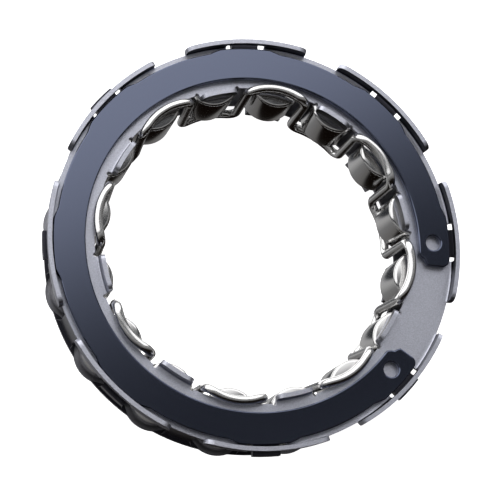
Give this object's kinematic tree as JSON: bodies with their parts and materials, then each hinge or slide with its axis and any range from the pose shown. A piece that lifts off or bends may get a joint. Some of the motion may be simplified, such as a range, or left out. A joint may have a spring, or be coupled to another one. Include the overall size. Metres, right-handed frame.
{
  "type": "starter clutch",
  "caption": "One-way roller clutch ring for a starter drive: a pressed cage holds rollers on a meander spring, behind a tabbed front plate with a retaining ring.",
  "frame": {"origin": "on the clutch axis, in the plane of the rear face", "axes": "+Z along the clutch axis, from the rear face towards the retaining ring; +X lies 3.4 degrees clockwise of the middle of a rim tab, seen from the front"},
  "size_m": [0.0682, 0.0682, 0.013],
  "materials": {
    "plate": "satin",
    "cage": "satin",
    "ring": "satin",
    "spring": "polished",
    "roller": "polished"
  },
  "bodies": {
    "clutch": {"front_plate": "plate", "roller_cage": "cage", "retaining_ring": "ring"},
    "roller_set": {"meander_spring": "spring"},
    "roller_01_body": {"roller_01": "roller"},
    "roller_02_body": {"roller_02": "roller"},
    "roller_03_body": {"roller_03": "roller"},
    "roller_04_body": {"roller_04": "roller"},
    "roller_05_body": {"roller_05": "roller"},
    "roller_06_body": {"roller_06": "roller"},
    "roller_07_body": {"roller_07": "roller"},
    "roller_08_body": {"roller_08": "roller"},
    "roller_09_body": {"roller_09": "roller"},
    "roller_10_body": {"roller_10": "roller"},
    "roller_11_body": {"roller_11": "roller"},
    "roller_12_body": {"roller_12": "roller"},
    "roller_13_body": {"roller_13": "roller"},
    "roller_14_body": {"roller_14": "roller"},
    "roller_15_body": {"roller_15": "roller"},
    "roller_16_body": {"roller_16": "roller"}
  },
  "joints": [
    {"name": "set_creep", "type": "hinge", "parent": "clutch", "child": "roller_set", "pos_m": [0, 0, 0], "axis": [0, 0, 1], "range_deg": [-1, 1], "stiffness_Nm_per_rad": 0.05},
    {"name": "roller_01_spin", "type": "hinge", "parent": "roller_set", "child": "roller_01_body", "pos_m": [0.02709, 0.00708, 0], "axis": [0, 0, 1], "continuous": true},
    {"name": "roller_02_spin", "type": "hinge", "parent": "roller_set", "child": "roller_02_body", "pos_m": [0.02232, 0.01691, 0], "axis": [0, 0, 1], "continuous": true},
    {"name": "roller_03_spin", "type": "hinge", "parent": "roller_set", "child": "roller_03_body", "pos_m": [0.01415, 0.02416, 0], "axis": [0, 0, 1], "continuous": true},
    {"name": "roller_04_spin", "type": "hinge", "parent": "roller_set", "child": "roller_04_body", "pos_m": [0.00382, 0.02774, 0], "axis": [0, 0, 1], "continuous": true},
    {"name": "roller_05_spin", "type": "hinge", "parent": "roller_set", "child": "roller_05_body", "pos_m": [-0.00708, 0.02709, 0], "axis": [0, 0, 1], "continuous": true},
    {"name": "roller_06_spin", "type": "hinge", "parent": "roller_set", "child": "roller_06_body", "pos_m": [-0.01691, 0.02232, 0], "axis": [0, 0, 1], "continuous": true},
    {"name": "roller_07_spin", "type": "hinge", "parent": "roller_set", "child": "roller_07_body", "pos_m": [-0.02416, 0.01415, 0], "axis": [0, 0, 1], "continuous": true},
    {"name": "roller_08_spin", "type": "hinge", "parent": "roller_set", "child": "roller_08_body", "pos_m": [-0.02774, 0.00382, 0], "axis": [0, 0, 1], "continuous": true},
    {"name": "roller_09_spin", "type": "hinge", "parent": "roller_set", "child": "roller_09_body", "pos_m": [-0.02709, -0.00708, 0], "axis": [0, 0, 1], "continuous": true},
    {"name": "roller_10_spin", "type": "hinge", "parent": "roller_set", "child": "roller_10_body", "pos_m": [-0.02232, -0.01691, 0], "axis": [0, 0, 1], "continuous": true},
    {"name": "roller_11_spin", "type": "hinge", "parent": "roller_set", "child": "roller_11_body", "pos_m": [-0.01415, -0.02416, 0], "axis": [0, 0, 1], "continuous": true},
    {"name": "roller_12_spin", "type": "hinge", "parent": "roller_set", "child": "roller_12_body", "pos_m": [-0.00382, -0.02774, 0], "axis": [0, 0, 1], "continuous": true},
    {"name": "roller_13_spin", "type": "hinge", "parent": "roller_set", "child": "roller_13_body", "pos_m": [0.00708, -0.02709, 0], "axis": [0, 0, 1], "continuous": true},
    {"name": "roller_14_spin", "type": "hinge", "parent": "roller_set", "child": "roller_14_body", "pos_m": [0.01691, -0.02232, 0], "axis": [0, 0, 1], "continuous": true},
    {"name": "roller_15_spin", "type": "hinge", "parent": "roller_set", "child": "roller_15_body", "pos_m": [0.02416, -0.01415, 0], "axis": [0, 0, 1], "continuous": true},
    {"name": "roller_16_spin", "type": "hinge", "parent": "roller_set", "child": "roller_16_body", "pos_m": [0.02774, -0.00382, 0], "axis": [0, 0, 1], "continuous": true}
  ],
  "couplings": [
    {"joint": "roller_02_spin", "follows": "roller_01_spin", "ratio": 1},
    {"joint": "roller_03_spin", "follows": "roller_01_spin", "ratio": 1},
    {"joint": "roller_04_spin", "follows": "roller_01_spin", "ratio": 1},
    {"joint": "roller_05_spin", "follows": "roller_01_spin", "ratio": 1},
    {"joint": "roller_06_spin", "follows": "roller_01_spin", "ratio": 1},
    {"joint": "roller_07_spin", "follows": "roller_01_spin", "ratio": 1},
    {"joint": "roller_08_spin", "follows": "roller_01_spin", "ratio": 1},
    {"joint": "roller_09_spin", "follows": "roller_01_spin", "ratio": 1},
    {"joint": "roller_10_spin", "follows": "roller_01_spin", "ratio": 1},
    {"joint": "roller_11_spin", "follows": "roller_01_spin", "ratio": 1},
    {"joint": "roller_12_spin", "follows": "roller_01_spin", "ratio": 1},
    {"joint": "roller_13_spin", "follows": "roller_01_spin", "ratio": 1},
    {"joint": "roller_14_spin", "follows": "roller_01_spin", "ratio": 1},
    {"joint": "roller_15_spin", "follows": "roller_01_spin", "ratio": 1},
    {"joint": "roller_16_spin", "follows": "roller_01_spin", "ratio": 1}
  ]
}
